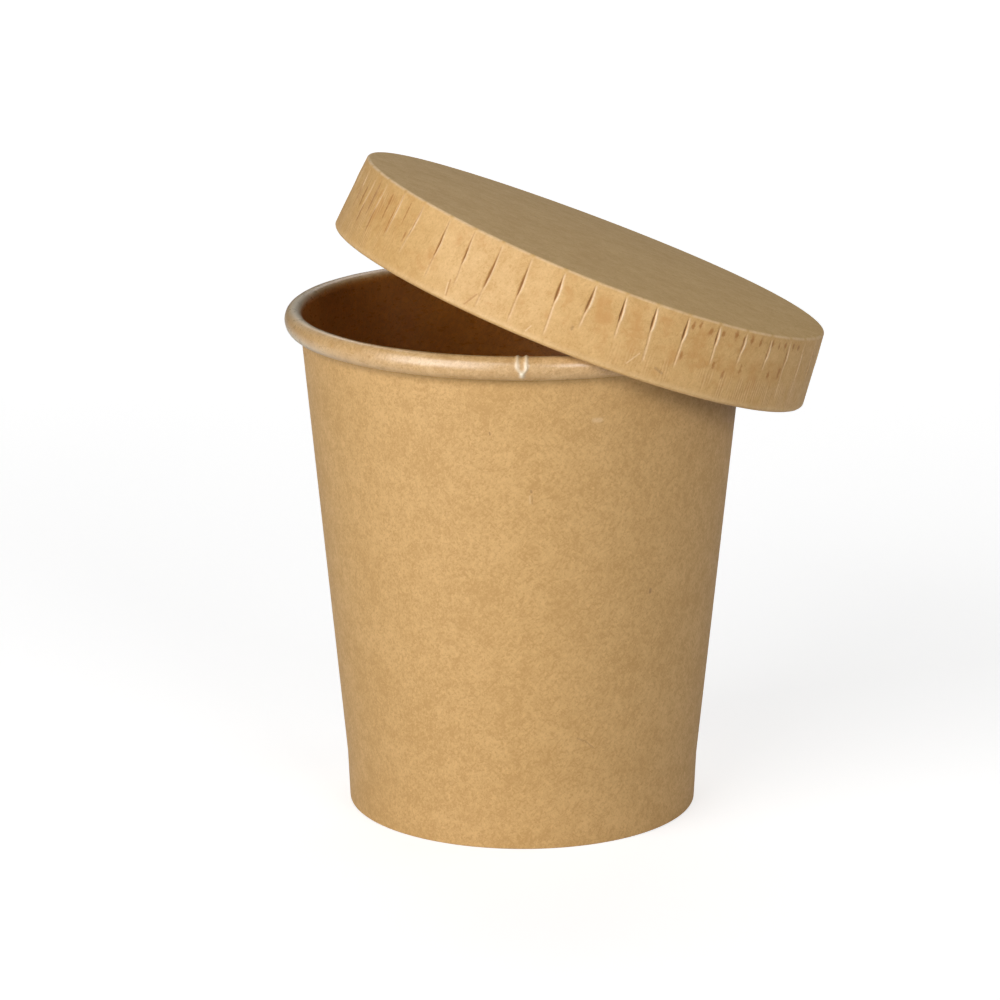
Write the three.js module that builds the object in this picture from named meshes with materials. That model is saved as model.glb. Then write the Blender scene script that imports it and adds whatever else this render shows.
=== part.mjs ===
// A kraft paper portion cup, with its pleated paper lid lying tilted on the rolled rim.
// Millimetres, +Z up. The cup is modelled about its own axis with its foot on z = 0, and the lid
// about its own axis with the edge of its top at z = 0. Azimuths are in degrees, from +X to +Y.
import * as THREE from 'three';

// ---- Cup ----
const BOARD = 0.5; // thickness of the paper board
const CUP_HEIGHT = 105.4;
const FOOT_RADIUS = 36.3; // outside of the ring that the cup stands on
const CRIMP_HEIGHT = 10; // up to here the wall is pressed onto the flange of the base
const CRIMP_RADIUS = 36.75;
const WALL_TOP_RADIUS = 45.65; // outside of the wall where the rolled rim begins
const RIM_RADIUS = 49;
const RIM_HALF_HEIGHT = 2.5;
const RIM_STEPS = 13;
const SEAM_AZIMUTH = -90.5; // the wall's glued lap, which thickens the rim for a short way
const SEAM_WIDTH = 1.8;
const SEAM_RISE = 0.25;
const CUP_COLUMNS = 72;

// ---- Foot and base ----
const FOLD_ROUND = 0.3; // roundness of the foot, where the board is folded up inside
const FOLD_TOP = 8.1; // height of the folded-in hem
const SLOT_FLOOR = 1; // the flange of the base stands in a slot between wall and hem
const SLOT_GAP = 0.2;
const FLANGE_FOOT = 1.4;
const BASE_TOP = 9.8;
const BASE_ROUND = 0.5;
const BASE_SAG = 0.4; // the base bows down in the middle
const BASE_RINGS = [12, 24];

// ---- Lid ----
const LID_BOARD = 0.4;
const LID_TOP_RADIUS = 50.24;
const LID_FOOT_RADIUS = 51.6;
const LID_HEIGHT = 15.75;
const EDGE_ROUND = 0.6;
const DISC_BOW = 1.3; // the top bows up in the middle
const DISC_RINGS = [17, 34];
const TOP_WARP = 0.48; // the ends of its top are this much up, the sides as much down
const HEM_WARP = 0.23; // and those of its lower edge this much
const SKIRT_BOARD = 0.9; // the skirt's board is doubled by the pleats
const HEM_CORNER = 0.8; // roundness of the skirt's lower edge
const HEM_WIDTH = 3.2; // the lower edge is rolled inwards
const HEM_ROLL = 1.3; // roundness of the roll's inner side

// ---- Pleats of the skirt ----
const PLEATS = 48;
const PLEAT_START = -1.3;
const PLEAT_DRIFT = 2.2; // the pleats close up and open out again by this much, twice round the lid
const PLEAT_DRIFT_START = -67;
const SLIT_DEPTH = 0.5;
// Columns of one pleat: where along it, and how much of the slit's depth it is sunk there.
const PLEAT_COLUMNS = [
  { along: -0.08, sunk: 0 }, // end of one panel
  { along: 0, sunk: 1 }, // bottom of the slit
  { along: 0.06, sunk: -0.35 }, // raised edge of the next panel
  { along: 0.5, sunk: 0 }, // middle of that panel
];
// Rows of the skirt from the hem up: how far below the top, and how open the slits are there.
const SKIRT_ROWS = [
  { drop: 11.4, open: 0.2 },
  { drop: 8.6, open: 0.3 },
  { drop: 6.6, open: 0.85 },
  { drop: 4.2, open: 1 },
  { drop: 2.3, open: 0.5 },
];

// ---- How the lid lies on the cup ----
const LID_TILT = 21.22;
const LID_FALL_AZIMUTH = 8.95; // the side that it falls to
const LID_SHIFT = 15.25; // from the cup's axis towards that side
const LID_TOP_HEIGHT = 117.66; // height of the centre of its top's edge

const degrees = THREE.MathUtils.degToRad;
const toDegrees = THREE.MathUtils.radToDeg;
const lerp = THREE.MathUtils.lerp;
const halfBoard = BOARD / 2;
const rimHalfWidth = (RIM_RADIUS - (WALL_TOP_RADIUS - BOARD)) / 2;
const rimCentre = { radius: RIM_RADIUS - rimHalfWidth, z: CUP_HEIGHT - RIM_HALF_HEIGHT };
const halfSeam = toDegrees(SEAM_WIDTH / 2 / RIM_RADIUS);

// ---- Bodies made of rings ----

function evenAzimuths(count) {
  return Array.from({ length: count }, (_, i) => (360 * i) / count);
}

function ringPoint(azimuth, radius, z) {
  const a = degrees(azimuth);
  return new THREE.Vector3(radius * Math.cos(a), radius * Math.sin(a), z);
}

function ring(azimuths, radius, z) {
  return azimuths.map((azimuth) => ringPoint(azimuth, radius, z));
}

function pole(z) {
  return [new THREE.Vector3(0, 0, z)];
}

function everyNth(list, step) {
  return list.filter((_, i) => i % step === 0);
}

// Points of an arc about (radius, z) in the profile, an ellipse where the half sizes differ.
function arc(radius, z, halfWidth, halfHeight, start, end, steps) {
  return Array.from({ length: steps + 1 }, (_, i) => {
    const a = degrees(lerp(start, end, i / steps));
    return { radius: radius + halfWidth * Math.cos(a), z: z + halfHeight * Math.sin(a) };
  });
}

// The closed surface through a list of rings. The body lies to the left of the way from ring to
// ring, seen with the radius to the right and +Z up. A ring may have a whole multiple of its
// neighbour's points, and a ring of one point closes the surface on the axis.
function skin(rings, closesOnItself = false) {
  const positions = [];
  const firstIndex = [];
  for (const points of rings) {
    firstIndex.push(positions.length / 3);
    for (const point of points) positions.push(point.x, point.y, point.z);
  }
  const triangles = [];
  const lastPair = closesOnItself ? rings.length : rings.length - 1;
  for (let k = 0; k < lastPair; k += 1) {
    const next = (k + 1) % rings.length;
    const here = rings[k].length;
    const there = rings[next].length;
    const steps = Math.max(here, there);
    for (let i = 0; i < steps; i += 1) {
      const a0 = firstIndex[k] + Math.floor((i * here) / steps);
      const a1 = firstIndex[k] + (Math.floor(((i + 1) * here) / steps) % here);
      const b0 = firstIndex[next] + Math.floor((i * there) / steps);
      const b1 = firstIndex[next] + (Math.floor(((i + 1) * there) / steps) % there);
      if (a0 !== a1) triangles.push(a0, a1, b0);
      if (b0 !== b1) triangles.push(a1, b1, b0);
    }
  }
  const geometry = new THREE.BufferGeometry();
  geometry.setAttribute('position', new THREE.Float32BufferAttribute(positions, 3));
  geometry.setIndex(triangles);
  geometry.computeVertexNormals();
  return geometry;
}

// ---- Cup ----

// Outside radius of the wall: nearly upright along the crimp, then the cup's taper.
function wallRadius(z) {
  if (z < CRIMP_HEIGHT) return lerp(FOOT_RADIUS, CRIMP_RADIUS, z / CRIMP_HEIGHT);
  const underRim = CUP_HEIGHT - 2 * RIM_HALF_HEIGHT;
  return lerp(CRIMP_RADIUS, WALL_TOP_RADIUS, (z - CRIMP_HEIGHT) / (underRim - CRIMP_HEIGHT));
}

// The rolled rim: an oval bead whose inner side carries on from the inside of the wall.
function rimOutline() {
  // The wall's outside runs into the bead where the bead is as wide as the wall stands.
  const meeting = Math.acos((WALL_TOP_RADIUS - rimCentre.radius) / rimHalfWidth);
  return arc(
    rimCentre.radius, rimCentre.z, rimHalfWidth, RIM_HALF_HEIGHT, -toDegrees(meeting), 180, RIM_STEPS,
  );
}

// The azimuths of the wall's columns, closer together at the seam than elsewhere.
function wallAzimuths() {
  const seamColumns = [-2, -1, 1, 2].map((i) => SEAM_AZIMUTH + 360 + i * halfSeam);
  const clearOfSeam = 3.5 * halfSeam;
  const others = evenAzimuths(CUP_COLUMNS).filter(
    (azimuth) => Math.abs(azimuth - SEAM_AZIMUTH - 360) > clearOfSeam,
  );
  return [...others, ...seamColumns].sort((a, b) => a - b);
}

function isOnSeam(azimuth) {
  return Math.abs(azimuth - SEAM_AZIMUTH - 360) < 1.5 * halfSeam;
}

function cupWallGeometry() {
  const azimuths = wallAzimuths();
  const slotOutside = (z) => wallRadius(z) - BOARD;
  const slotInside = (z) => slotOutside(z) - BOARD - 2 * SLOT_GAP;
  const hemInside = (z) => slotInside(z) - BOARD;
  const hemFoot = hemInside(0) + FOLD_ROUND;
  const plain = [
    ...arc(FOOT_RADIUS - FOLD_ROUND, FOLD_ROUND, FOLD_ROUND, FOLD_ROUND, -90, 0, 3),
    { radius: CRIMP_RADIUS, z: CRIMP_HEIGHT },
  ].map(({ radius, z }) => ring(azimuths, radius, z));
  // On the seam the bead is fuller all round its section, away from its own centre line.
  const bead = rimOutline().map(({ radius, z }) => azimuths.map((azimuth) => {
    const outX = radius - rimCentre.radius;
    const outZ = z - rimCentre.z;
    const isTucked = outX < 0 && outZ < 0;
    const rise = isOnSeam(azimuth) && !isTucked ? SEAM_RISE : 0;
    const swell = 1 + rise / Math.hypot(outX, outZ);
    return ringPoint(azimuth, rimCentre.radius + outX * swell, rimCentre.z + outZ * swell);
  }));
  const inside = [
    { radius: CRIMP_RADIUS - BOARD, z: CRIMP_HEIGHT },
    { radius: slotOutside(SLOT_FLOOR), z: SLOT_FLOOR },
    { radius: slotInside(SLOT_FLOOR), z: SLOT_FLOOR },
    ...arc(slotInside(FOLD_TOP) - halfBoard, FOLD_TOP - halfBoard, halfBoard, halfBoard, 0, 180, 2),
    ...arc(hemFoot, FOLD_ROUND, FOLD_ROUND, FOLD_ROUND, 180, 270, 3),
  ].map(({ radius, z }) => ring(azimuths, radius, z));
  return skin([...plain, ...bead, ...inside], true);
}

// The base: a disc with its edge turned down into the slot of the foot.
function cupBaseGeometry() {
  const azimuths = evenAzimuths(CUP_COLUMNS);
  const coarse = everyNth(azimuths, 2);
  const flangeOutside = (z) => wallRadius(z) - BOARD - SLOT_GAP;
  const flangeInside = (z) => flangeOutside(z) - BOARD;
  const flatRadius = flangeOutside(BASE_TOP) - BASE_ROUND;
  const sag = (radius) => BASE_SAG * (1 - (radius / flatRadius) ** 2);
  const underside = BASE_TOP - BOARD;
  const corner = arc(flatRadius, BASE_TOP - BASE_ROUND, BASE_ROUND, BASE_ROUND, 0, 90, 3);
  return skin([
    pole(underside - sag(0)),
    ...BASE_RINGS.map((radius) => ring(coarse, radius, underside - sag(radius))),
    ring(azimuths, flangeInside(underside), underside),
    ring(azimuths, flangeInside(FLANGE_FOOT), FLANGE_FOOT),
    ring(azimuths, flangeOutside(FLANGE_FOOT), FLANGE_FOOT),
    ...corner.map(({ radius, z }) => ring(azimuths, radius, z)),
    ...[...BASE_RINGS].reverse().map((radius) => ring(coarse, radius, BASE_TOP - sag(radius))),
    pole(BASE_TOP - sag(0)),
  ]);
}

// ---- Lid ----

function skirtRadius(drop) {
  return lerp(LID_TOP_RADIUS, LID_FOOT_RADIUS, drop / (LID_HEIGHT - HEM_CORNER));
}

// Columns round the lid, four to a pleat: the azimuth, and how much of the slit's depth is there.
function pleatColumns() {
  const pitch = 360 / PLEATS;
  const columns = [];
  for (let pleat = 0; pleat < PLEATS; pleat += 1) {
    for (const { along, sunk } of PLEAT_COLUMNS) {
      const even = PLEAT_START + (pleat + along) * pitch;
      const drift = PLEAT_DRIFT * Math.sin(2 * degrees(even - PLEAT_DRIFT_START));
      columns.push({ azimuth: even + drift, sunk });
    }
  }
  return columns;
}

// Height of the top above its edge, before the warp.
function discHeight(radius) {
  const flatRadius = LID_TOP_RADIUS - EDGE_ROUND;
  return DISC_BOW * (1 - (radius / flatRadius) ** 2);
}

function warped(point) {
  const radius = Math.hypot(point.x, point.y);
  const azimuth = Math.atan2(point.y, point.x);
  const warp = lerp(TOP_WARP, HEM_WARP, -point.z / LID_HEIGHT);
  const lift = warp * Math.cos(2 * azimuth) * (radius / LID_TOP_RADIUS) ** 2;
  return new THREE.Vector3(point.x, point.y, point.z + lift);
}

function lidGeometry() {
  const columns = pleatColumns();
  const azimuths = columns.map((column) => column.azimuth);
  const half = everyNth(azimuths, 2);
  const quarter = everyNth(azimuths, 4);
  const rollRadius = LID_FOOT_RADIUS - HEM_WIDTH + HEM_ROLL;
  const rollZ = HEM_ROLL - LID_HEIGHT;
  const cornerRadius = LID_FOOT_RADIUS - HEM_CORNER;
  const cornerZ = HEM_CORNER - LID_HEIGHT;
  const innerSkirt = (drop) => skirtRadius(drop) - SKIRT_BOARD;
  const underEdge = innerSkirt(LID_BOARD) - LID_BOARD / 2;
  // The roll of the hem begins where it meets the inside of the skirt.
  const meeting = Math.acos((innerSkirt(LID_HEIGHT - 2 * HEM_ROLL) - rollRadius) / HEM_ROLL);
  const roll = arc(rollRadius, rollZ, HEM_ROLL, HEM_ROLL, toDegrees(meeting), 270, 6);
  const corner = arc(cornerRadius, cornerZ, HEM_CORNER, HEM_CORNER, 270, 360, 2);
  const outerHem = corner.pop();
  const skirt = SKIRT_ROWS.map(({ drop, open }) => columns.map(({ azimuth, sunk }) => (
    ringPoint(azimuth, skirtRadius(drop) - SLIT_DEPTH * open * sunk, -drop)
  )));
  const edge = arc(
    skirtRadius(EDGE_ROUND) - EDGE_ROUND, -EDGE_ROUND, EDGE_ROUND, EDGE_ROUND, 0, 90, 3,
  );
  const rings = [
    pole(discHeight(0) - LID_BOARD),
    ...DISC_RINGS.map((radius) => ring(quarter, radius, discHeight(radius) - LID_BOARD)),
    ring(quarter, underEdge, -LID_BOARD),
    ring(quarter, innerSkirt(2 * LID_BOARD), -2 * LID_BOARD),
    ...[...roll, ...corner].map(({ radius, z }) => ring(half, radius, z)),
    ring(azimuths, outerHem.radius, outerHem.z),
    ...skirt,
    ...edge.map(({ radius, z }) => ring(azimuths, radius, z)),
    ...[...DISC_RINGS].reverse().map((radius) => ring(quarter, radius, discHeight(radius))),
    pole(discHeight(0)),
  ];
  return skin(rings.map((points) => points.map(warped)));
}

// ---- Materials ----

const kraft = new THREE.MeshStandardMaterial({ color: 0xcfa66f, roughness: 0.8, metalness: 0 });
const kraftBase = new THREE.MeshStandardMaterial({ color: 0xb98d58, roughness: 0.6, metalness: 0 });
const kraftLid = new THREE.MeshStandardMaterial({ color: 0xd9b07a, roughness: 0.85, metalness: 0 });

function namedMesh(name, geometry, material) {
  const mesh = new THREE.Mesh(geometry, material);
  mesh.name = name;
  return mesh;
}

// ---- Assembly ----

function lyingLid() {
  const lid = new THREE.Group();
  const fall = degrees(LID_FALL_AZIMUTH);
  lid.add(namedMesh('lid', lidGeometry(), kraftLid));
  lid.rotation.set(0, degrees(LID_TILT), fall, 'ZYX');
  lid.position.set(LID_SHIFT * Math.cos(fall), LID_SHIFT * Math.sin(fall), LID_TOP_HEIGHT);
  return lid;
}

// The origin is on the ground, under the middle of the cup and lid together.
function centredOnGround(group) {
  group.updateMatrixWorld(true);
  const middle = new THREE.Box3().setFromObject(group, true).getCenter(new THREE.Vector3());
  group.position.set(-middle.x, -middle.y, 0);
  return group;
}

const portionCup = new THREE.Group();
portionCup.add(namedMesh('cup_wall', cupWallGeometry(), kraft));
portionCup.add(namedMesh('cup_base', cupBaseGeometry(), kraftBase));
portionCup.add(lyingLid());

export default centredOnGround(portionCup);
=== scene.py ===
"""A kraft paper portion cup with its pleated paper lid lying tilted on the rolled rim.

Metres, +Z up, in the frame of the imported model. The cup is made about its own axis and the lid about
its own axis with the edge of its top at z = 0; azimuths run from +X to +Y.
"""

import math

import bpy
import numpy as np
from bpy.props import FloatProperty, FloatVectorProperty, IntProperty, PointerProperty
from mathutils import Matrix, Vector, noise


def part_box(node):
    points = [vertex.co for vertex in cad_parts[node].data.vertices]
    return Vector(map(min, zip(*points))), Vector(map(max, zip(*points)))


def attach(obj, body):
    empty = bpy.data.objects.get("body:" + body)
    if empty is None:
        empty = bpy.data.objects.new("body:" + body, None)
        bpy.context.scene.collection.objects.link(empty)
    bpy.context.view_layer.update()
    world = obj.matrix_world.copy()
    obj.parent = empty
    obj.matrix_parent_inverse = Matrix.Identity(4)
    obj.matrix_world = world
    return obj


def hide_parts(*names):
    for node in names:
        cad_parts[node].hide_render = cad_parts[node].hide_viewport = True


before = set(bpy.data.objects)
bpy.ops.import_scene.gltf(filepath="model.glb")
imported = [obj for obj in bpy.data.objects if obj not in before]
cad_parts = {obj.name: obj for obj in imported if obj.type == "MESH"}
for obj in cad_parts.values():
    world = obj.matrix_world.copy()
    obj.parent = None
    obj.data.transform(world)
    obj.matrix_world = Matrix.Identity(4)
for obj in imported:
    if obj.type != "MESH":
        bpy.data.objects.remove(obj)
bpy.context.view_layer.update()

bl_info = {
    "name": "Paper Portion Cup",
    "version": (1, 0, 0),
    "blender": (4, 5, 0),
    "location": "View3D > Sidebar > Portion Cup",
    "description": "A kraft paper cup with a rolled rim and a pleated paper lid",
    "category": "Add Mesh",
}

BODY = "root"
MILLIMETRE = 0.001
BASE_LOW, BASE_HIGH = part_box("cup_base")
CUP_AXIS = (BASE_LOW + BASE_HIGH) / 2  # only its x and y are used


# ---------------------------------------------------------------- settings

def size(name, description, millimetres):
    return FloatProperty(
        name=name, description=description, default=millimetres * MILLIMETRE, unit="LENGTH", precision=5
    )


def angle(name, description, degrees):
    return FloatProperty(
        name=name, description=description, default=math.radians(degrees), subtype="ANGLE"
    )


def colour(name, description, red, green, blue):
    return FloatVectorProperty(
        name=name, description=description, default=(red, green, blue), subtype="COLOR",
        size=3, min=0, max=1,
    )


def strength(name, description, default):
    return FloatProperty(name=name, description=description, default=default, min=0)


class CupSizes(bpy.types.PropertyGroup):
    """Sizes of the cup"""

    board: size("Board", "Thickness of the paper board", 0.5)
    height: size("Height", "Height of the cup over its rim", 105.4)
    foot_radius: size("Foot radius", "Outside radius of the ring that the cup stands on", 36.3)
    crimp_height: size("Crimp height", "Height to which the wall is pressed onto the base", 10)
    crimp_radius: size("Crimp radius", "Outside radius of the wall at the top of the crimp", 36.75)
    wall_top_radius: size("Wall top radius", "Outside radius of the wall under the rim", 45.65)
    rim_radius: size("Rim radius", "Outside radius of the rolled rim", 48.97)
    rim_half_height: size("Rim half height", "Half the height of the rolled rim", 2.4)
    fold_round: size("Fold round", "Roundness of the foot, where the board is folded up", 0.3)
    fold_top: size("Fold top", "Height of the hem that is folded up inside the foot", 8.1)
    slot_floor: size("Slot floor", "Height of the board at the bottom of the foot's slot", 1.0)
    slot_gap: size("Slot gap", "Room on each side of the base's flange", 0.2)
    flange_foot: size("Flange foot", "Height of the lower edge of the base's flange", 1.4)
    base_top: size("Base top", "Height of the base inside the cup", 9.8)
    base_round: size("Base round", "Roundness of the base's turned-down edge", 0.5)
    base_sag: size("Base sag", "How far the base bows down in the middle", 0.4)
    seam_azimuth: angle("Seam azimuth", "Where the wall's glued lap passes through the rim", -90.5)
    seam_width: size("Seam width", "Distance between the two ridges of the rim's seam", 1.8)
    seam_rise: size("Seam rise", "How far the seam's ridges stand out of the rim", 0.24)
    unevenness: size("Unevenness", "How far the rolled rim swells and thins along its length", 0.05)


class LidSizes(bpy.types.PropertyGroup):
    """Sizes of the lid and how it lies"""

    board: size("Board", "Thickness of the lid's board", 0.4)
    top_radius: size("Top radius", "Radius of the skirt where the top begins", 50.2)
    foot_radius: size("Foot radius", "Radius of the skirt at the hem", 51.55)
    height: size("Height", "Height of the lid", 15.75)
    edge_round: size("Edge round", "Roundness of the edge between top and skirt", 0.6)
    bow: size("Bow", "How far the top bows up in the middle", 1.3)
    top_warp: size("Top warp", "How far the ends of its top are up and the sides down", 0.48)
    hem_warp: size("Hem warp", "How far the ends of its hem are up and the sides down", 0.23)
    skirt_board: size("Skirt board", "Thickness of the skirt, which the pleats double", 0.9)
    hem_corner: size("Hem corner", "Roundness of the skirt's lower edge", 0.8)
    hem_width: size("Hem width", "How far the lower edge is rolled inwards", 3.2)
    hem_roll: size("Hem roll", "Roundness of the roll's inner side", 1.3)
    pleats: IntProperty(name="Pleats", description="Number of pleats round the skirt", default=48, min=8)
    pleat_start: angle("Pleat start", "Azimuth of the first pleat", -1.3)
    pleat_drift: angle("Pleat drift", "How far the pleats close up and open out again", 2.2)
    pleat_drift_start: angle("Pleat drift start", "Azimuth from which the pleats drift", -67)
    slit_depth: size("Slit depth", "Depth of the open part of a pleat", 0.5)
    lip_rise: size("Lip rise", "How far the folded edge beside a slit stands out", 0.13)
    tilt: angle("Tilt", "How far the lid is tilted", 21.22)
    fall_azimuth: angle("Fall azimuth", "The side that the lid falls to", 8.95)
    shift: size("Shift", "Distance of the lid's centre from the cup's axis", 15.25)
    top_height: size("Top height", "Height of the centre of the lid's upper edge", 117.66)


class PaperColours(bpy.types.PropertyGroup):
    """Colours of the paper"""

    cup_light: colour("Cup, light", "Lighter tone of the cup's kraft paper", 0.65, 0.4, 0.16)
    cup_dark: colour("Cup, dark", "Darker tone of the cup's kraft paper", 0.51, 0.295, 0.1)
    lid_light: colour("Lid, light", "Lighter tone of the lid's kraft paper", 0.7, 0.44, 0.178)
    lid_dark: colour("Lid, dark", "Darker tone of the lid's kraft paper", 0.55, 0.315, 0.102)
    rim_light: colour("Rim, light", "Lighter tone of the rolled rim", 0.69, 0.45, 0.21)
    rim_dark: colour("Rim, dark", "Darker tone of the rolled rim", 0.52, 0.3, 0.115)
    # Whitish painted sheen and painted highlight on the rim's coating.
    painted_sheen_colour: colour("Scuff", "The rim's coating where it is stretched or scuffed", 0.85, 0.74, 0.55)
    # The inside is the same coated board as the rim; its deeper, darker brown is painted shade.
    shaded_inside_light: colour("Inside, light", "Lighter tone of the coated inside", 0.6, 0.225, 0.036)
    shaded_inside_dark: colour("Inside, dark", "Darker tone of the coated inside", 0.43, 0.145, 0.02)
    blotch: colour("Blotch", "Orange-brown blotches by the pleats", 0.42, 0.185, 0.045)
    tinge: colour("Tinge", "Warm tinge of the skirt's paper", 0.56, 0.29, 0.085)
    # Painted light: an olive tint for the grey cast that light glancing off the top gives it.
    lid_top_painted_tint: colour("Lid top tint", "What the top's paper is multiplied by", 0.98, 1.0, 0.82)
    # Painted shade deep in the slits and along the creases of the pleats.
    slit: colour("Slit", "Paper deep in a pleat", 0.38, 0.18, 0.055)
    # Pale on folded edges, the top's edge and the hem: partly scuffed fibres, partly painted highlight.
    lip: colour("Lip", "Scuffed fibres on a fold", 0.86, 0.64, 0.4)
    speck: colour("Speck", "Dark specks in the paper", 0.24, 0.12, 0.045)
    pale_fibre: colour("Pale fibre", "Pale fibres in the paper", 0.8, 0.6, 0.36)


class StudioSettings(bpy.types.PropertyGroup):
    """Camera, floor and lights"""

    camera_elevation: angle("Camera elevation", "How far the camera looks down", 14.81)
    camera_distance: size("Camera distance", "Distance from the camera to the point it looks at", 900)
    camera_aside: size("Camera aside", "Sideways place of the point it looks at", -4.68)
    camera_height: size("Camera height", "Height of the point it looks at", 63.99)
    lens: FloatProperty(
        name="Lens", description="Focal length of the camera", default=155.82, unit="CAMERA"
    )
    key_strength: strength("Key strength", "Light of the low softbox on the left", 0.67)
    high_key_strength: strength("High key strength", "Light of the softbox over the key", 0.39)
    fill_strength: strength("Fill strength", "Light of the softbox right of the camera", 0.34)
    side_strength: strength("Side strength", "Light of the softbox on the far right", 0.15)
    back_strength: strength("Back strength", "Light of the softbox high up behind", 0.3)
    room_strength: strength("Room strength", "Light of the white room", 0.01)
    floor_lift: strength("Floor lift", "Brightness the floor has of its own near the cup", 0.66)
    backdrop_lift: strength("Backdrop lift", "Brightness the floor has of its own far away", 0.9)


class PortionCupSettings(bpy.types.PropertyGroup):
    """All settings of the portion cup"""

    cup: PointerProperty(type=CupSizes)
    lid: PointerProperty(type=LidSizes)
    colours: PointerProperty(type=PaperColours)
    studio: PointerProperty(type=StudioSettings)


# ---------------------------------------------------------------- rings and skins

KRAFT, COATED = 0, 1  # places in a piece's list of materials


class Ring:
    """A closed row of points round an axis, with the finish of the faces that follow it and a
    named value at each of its points. Its plain points are those before any relief."""

    def __init__(self, points, finish=KRAFT, plain=None, **values):
        self.points = np.asarray(points, float).reshape(-1, 3)
        self.plain = self.points if plain is None else plain
        self.finish = finish
        self.values = values

    def __len__(self):
        return len(self.points)


def even_azimuths(count):
    return np.arange(count) * math.tau / count


def turned_to(azimuths, azimuth):
    """How far round each azimuth is from this one, within half a turn either way."""
    return (azimuths - azimuth + math.pi) % math.tau - math.pi


def circle(azimuths, radius, height):
    """Points round the axis. Radius and height are one number or one for each point."""
    radius = np.broadcast_to(radius, azimuths.shape)
    height = np.broadcast_to(height, azimuths.shape)
    return np.stack((radius * np.cos(azimuths), radius * np.sin(azimuths), height), axis=1)


def arc(radius, height, half_width, half_height, start, end, steps):
    """(radius, height, angle) of points on an arc of the profile, an ellipse where it is flattened."""
    turns = np.radians(np.linspace(start, end, steps + 1))
    return [
        (radius + half_width * math.cos(t), height + half_height * math.sin(t), t) for t in turns
    ]


def skin(name, rings, materials, closes_on_itself=False):
    """A closed mesh through a list of rings. A ring may have a whole multiple of its neighbour's
    points, and a ring of one point closes the surface on the axis."""
    starts = np.cumsum([0] + [len(ring) for ring in rings])
    faces, finishes = [], []
    last_pair = len(rings) if closes_on_itself else len(rings) - 1
    for here in range(last_pair):
        there = (here + 1) % len(rings)
        mine, theirs = len(rings[here]), len(rings[there])
        steps = max(mine, theirs)
        for i in range(steps):
            corners = (
                starts[here] + i * mine // steps,
                starts[here] + (i + 1) * mine // steps % mine,
                starts[there] + (i + 1) * theirs // steps % theirs,
                starts[there] + i * theirs // steps,
            )
            faces.append([int(c) for c in dict.fromkeys(corners)])
            finishes.append(rings[here].finish)
    mesh = bpy.data.meshes.new(name)
    mesh.from_pydata(np.concatenate([ring.points for ring in rings]).tolist(), [], faces)
    for material in materials:
        mesh.materials.append(material)
    mesh.polygons.foreach_set("material_index", finishes)
    for value in sorted({value for ring in rings for value in ring.values}):
        column = [
            np.broadcast_to(ring.values.get(value, 0.0), len(ring)) for ring in rings
        ]
        attribute = mesh.attributes.new(value, "FLOAT", "POINT")
        attribute.data.foreach_set("value", np.concatenate(column).astype(np.float32))
    mesh.shade_smooth()
    mesh.update()
    return mesh


def place_vectors(mesh, name, points):
    """Keeps each point's place in the piece's own frame, for grain that runs along the piece."""
    attribute = mesh.attributes.new(name, "FLOAT_VECTOR", "POINT")
    attribute.data.foreach_set("vector", np.asarray(points, np.float32).ravel())


def add_piece(mesh, node):
    """Shows a mesh as a piece of the cup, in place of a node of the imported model."""
    piece = bpy.data.objects.new(mesh.name, mesh)
    bpy.context.scene.collection.objects.link(piece)
    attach(piece, BODY)
    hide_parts(node)


def wavering(points, wavelength, seed):
    """A smooth random value from about -1 to 1 at each point."""
    offset = Vector((seed * 17.3, seed * 5.1, seed * 9.7))
    return np.array([noise.noise(Vector(point) / wavelength + offset) for point in points])


def bump(distance, width):
    """A smooth hump: 1 at no distance, near 0 past about two widths."""
    return np.exp(-((distance / width) ** 2))


def ramp(value, start, end):
    """0 before start, 1 past end, smooth between them."""
    t = np.clip((value - start) / (end - start), 0, 1)
    return t * t * (3 - 2 * t)


# ---------------------------------------------------------------- materials

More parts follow.
